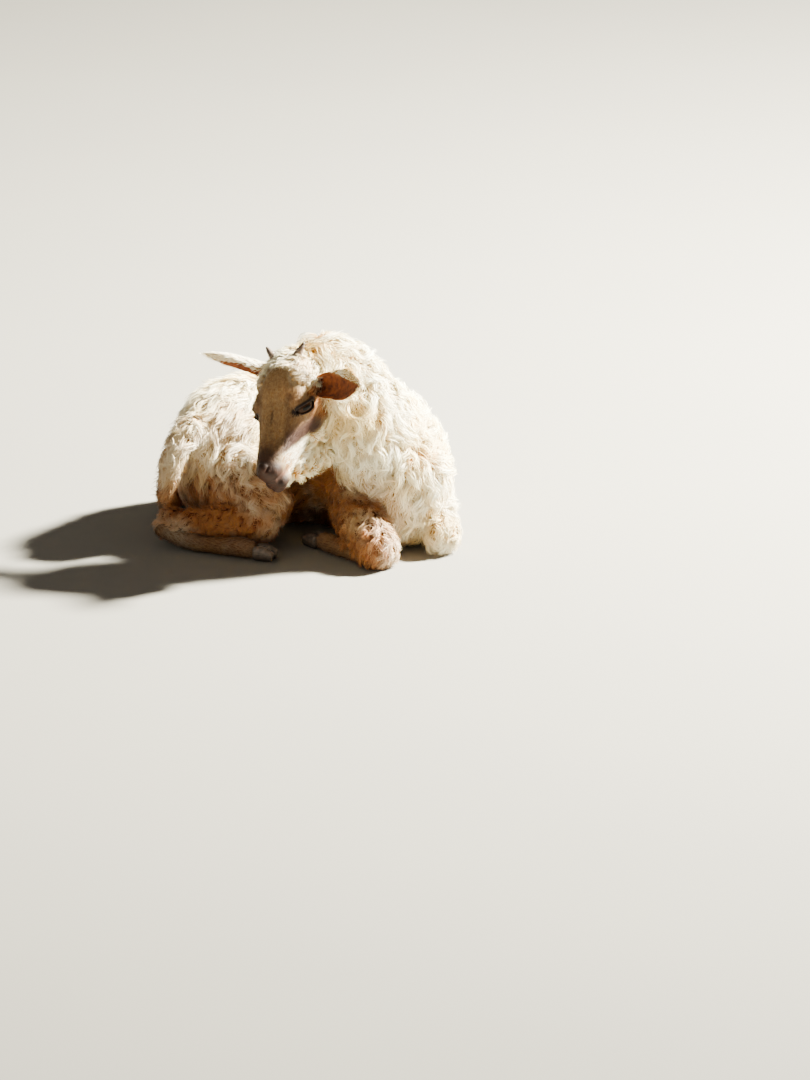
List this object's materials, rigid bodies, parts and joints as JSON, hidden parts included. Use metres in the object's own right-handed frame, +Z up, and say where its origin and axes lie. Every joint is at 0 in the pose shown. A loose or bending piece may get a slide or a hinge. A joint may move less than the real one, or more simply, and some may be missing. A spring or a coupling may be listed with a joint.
{
  "type": "cashmere goat kid",
  "caption": "Life-size still model of a white cashmere goat kid lying curled on its chest, head turned back over its flank.",
  "frame": {"origin": "on the floor under the middle of the belly", "axes": "+Z up from the floor, -Y toward the side that the head and chest face, +X toward the left shoulder"},
  "size_m": [0.3059, 0.3348, 0.2203],
  "materials": {
    "curly_fleece": "curly white cashmere fleece",
    "short_face_hair": "short cream hair",
    "wet_eye": "wet dark amber",
    "horn_bud": "dull horn",
    "hoof_horn": "dull hoof horn"
  },
  "bodies": {
    "root": {"barrel": "curly_fleece", "chest": "curly_fleece", "ear_left": "short_face_hair", "ear_right": "short_face_hair", "eye_left": "wet_eye", "eye_right": "wet_eye", "fore_claw_left_left": "hoof_horn", "fore_claw_left_right": "hoof_horn", "fore_claw_right_left": "hoof_horn", "fore_claw_right_right": "hoof_horn", "fore_foot_left": "curly_fleece", "fore_foot_right": "curly_fleece", "forearm_left": "curly_fleece", "forearm_right": "curly_fleece", "head": "short_face_hair", "hind_claw_left_left": "hoof_horn", "hind_claw_left_right": "hoof_horn", "hind_claw_right_left": "hoof_horn", "hind_claw_right_right": "hoof_horn", "hind_foot_left": "curly_fleece", "hind_foot_right": "curly_fleece", "horn_left": "horn_bud", "horn_right": "horn_bud", "neck_lower": "curly_fleece", "neck_upper": "curly_fleece", "rump": "curly_fleece", "shank_left": "curly_fleece", "shank_right": "curly_fleece", "tail": "curly_fleece", "thigh_left": "curly_fleece", "thigh_right": "curly_fleece"}
  },
  "joints": []
}
